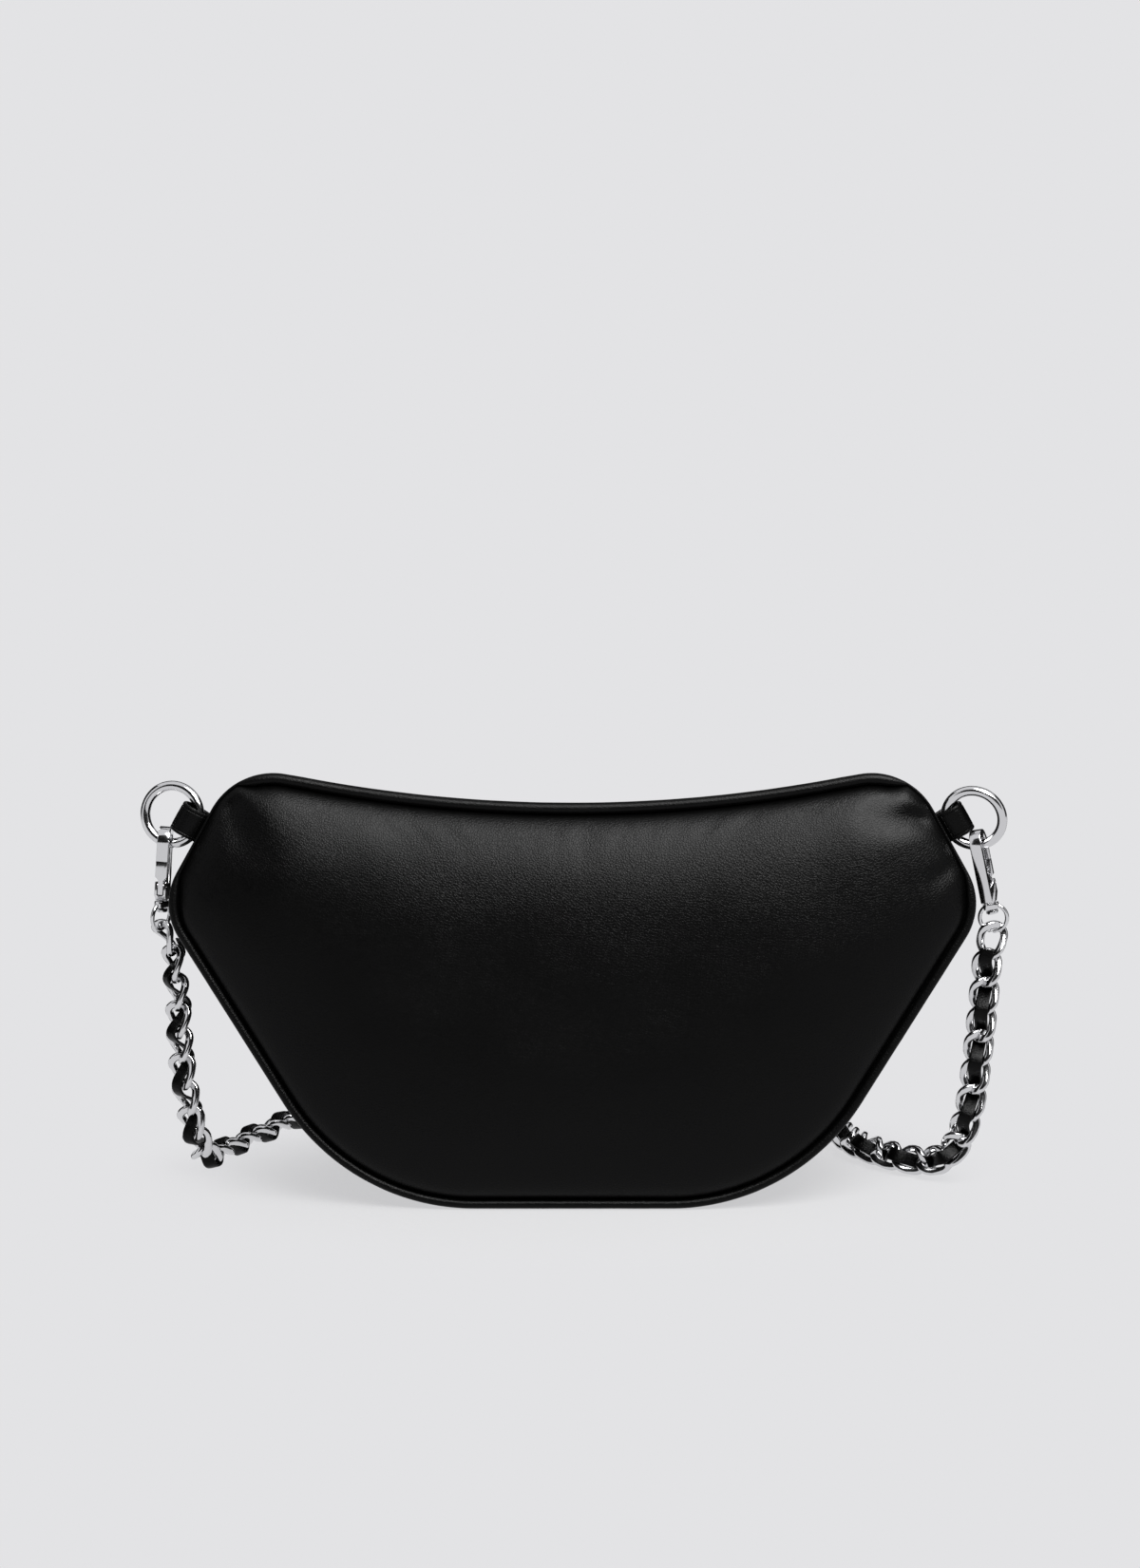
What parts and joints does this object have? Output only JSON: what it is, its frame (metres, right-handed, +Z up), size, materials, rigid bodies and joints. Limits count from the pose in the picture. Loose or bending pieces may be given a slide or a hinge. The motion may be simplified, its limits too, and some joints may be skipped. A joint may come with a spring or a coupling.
{
  "type": "belt bag",
  "caption": "Small padded leather belt bag with a curved zip top, a wide base and a chain strap laced with leather, clipped to an O-ring at each shoulder by swivel snap hooks.",
  "frame": {"origin": "middle of the base of the bag with its hooks, on the surface it stands on, measured without the strap", "axes": "+X along the zip, to the right of a person who looks at the back panel; +Y from the back panel to the front panel; +Z up"},
  "size_m": [0.2962, 0.1528, 0.1459],
  "materials": {
    "black_leather": "smooth nappa with a satin sheen",
    "black_cloth": "woven tape and lining",
    "polished_steel": "polished, nickel plated"
  },
  "bodies": {
    "bag": {"back_panel": "black_leather", "back_piping": "black_leather", "back_top_roll": "black_leather", "chain_run_01": "polished_steel", "chain_run_02": "polished_steel", "chain_run_03": "polished_steel", "chain_run_04": "polished_steel", "chain_run_05": "polished_steel", "chain_run_06": "polished_steel", "chain_run_07": "polished_steel", "chain_run_08": "polished_steel", "chain_run_09": "polished_steel", "chain_run_10": "polished_steel", "chain_run_11": "polished_steel", "chain_run_12": "polished_steel", "chain_run_13": "polished_steel", "chain_run_14": "polished_steel", "front_panel": "black_leather", "front_piping": "black_leather", "front_top_roll": "black_leather", "gate_pin_left": "polished_steel", "gate_pin_right": "polished_steel", "gate_spring_left": "polished_steel", "gate_spring_right": "polished_steel", "gusset": "black_leather", "hook_body_left": "polished_steel", "hook_body_right": "polished_steel", "lace": "black_leather", "lining": "black_cloth", "swivel_stud_left": "polished_steel", "swivel_stud_right": "polished_steel", "tab_left": "black_leather", "tab_right": "black_leather", "zip_bottom_stop": "polished_steel", "zip_top_stop_back": "polished_steel", "zip_top_stop_front": "polished_steel"},
    "lip_back": {"zip_strip_back": "black_leather", "zip_tape_back": "black_cloth", "zip_teeth_back": "polished_steel"},
    "lip_front": {"zip_strip_front": "black_leather", "zip_tape_front": "black_cloth", "zip_teeth_front": "polished_steel"},
    "slider": {"zip_slider": "polished_steel"},
    "pull": {"zip_pull": "polished_steel"},
    "ring_left": {"ring_left": "polished_steel"},
    "ring_right": {"ring_right": "polished_steel"},
    "gate_left": {"hook_gate_left": "polished_steel"},
    "gate_right": {"hook_gate_right": "polished_steel"},
    "eye_left": {"swivel_eye_left": "polished_steel"},
    "eye_right": {"swivel_eye_right": "polished_steel"}
  },
  "joints": [
    {"name": "zip_travel", "type": "hinge", "parent": "bag", "child": "slider", "pos_m": [-0.00076, 0.0007, 0.6275], "axis": [0, 1, 0], "range_deg": [0, 19.3]},
    {"name": "zip_lip_back_open", "type": "hinge", "parent": "bag", "child": "lip_back", "pos_m": [-0.00076, -0.00864, 0.135], "axis": [-1, 0, 0], "range_deg": [0, 40], "deforming": ["zip_strip_back", "zip_tape_back", "zip_teeth_back"]},
    {"name": "zip_lip_front_open", "type": "hinge", "parent": "bag", "child": "lip_front", "pos_m": [-0.00076, 0.01001, 0.1217], "axis": [-1, 0, 0], "range_deg": [0, 54], "deforming": ["zip_strip_front", "zip_tape_front", "zip_teeth_front"]},
    {"name": "zip_pull_flip", "type": "hinge", "parent": "slider", "child": "pull", "pos_m": [0.08328, 0.00159, 0.13741], "axis": [0.0997, 0.8074, -0.5815], "range_deg": [0, 150]},
    {"name": "ring_left_spin", "type": "hinge", "parent": "bag", "child": "ring_left", "pos_m": [-0.13706, -0.00307, 0.1308], "axis": [0.2694, 0.9511, -0.1513], "continuous": true},
    {"name": "gate_left_press", "type": "hinge", "parent": "bag", "child": "gate_left", "pos_m": [-0.14105, -0.00756, 0.10704], "axis": [-0.9921, 0.1045, 0.0694], "range_deg": [0, 22], "stiffness_Nm_per_rad": 0.02, "springref_deg": -22.92, "deforming": ["gate_spring_left"]},
    {"name": "eye_left_swivel", "type": "hinge", "parent": "bag", "child": "eye_left", "pos_m": [-0.14146, -0.00383, 0.09549], "axis": [0.0698, 0, 0.9976], "range_deg": [-12, 12]},
    {"name": "ring_right_spin", "type": "hinge", "parent": "bag", "child": "ring_right", "pos_m": [0.13554, -0.00913, 0.1308], "axis": [0.2694, 0.9511, 0.1513], "continuous": true},
    {"name": "gate_right_press", "type": "hinge", "parent": "bag", "child": "gate_right", "pos_m": [0.14178, -0.00464, 0.10743], "axis": [0.9192, -0.342, 0.1954], "range_deg": [0, 22], "stiffness_Nm_per_rad": 0.02, "springref_deg": -22.92, "deforming": ["gate_spring_right"]},
    {"name": "eye_right_swivel", "type": "hinge", "parent": "bag", "child": "eye_right", "pos_m": [0.14292, -0.00817, 0.09587], "axis": [-0.2079, 0, 0.9781], "range_deg": [-12, 12]}
  ],
  "couplings": [
    {"joint": "zip_lip_back_open", "follows": "zip_travel", "ratio": 2.072},
    {"joint": "zip_lip_front_open", "follows": "zip_travel", "ratio": 2.7974}
  ]
}
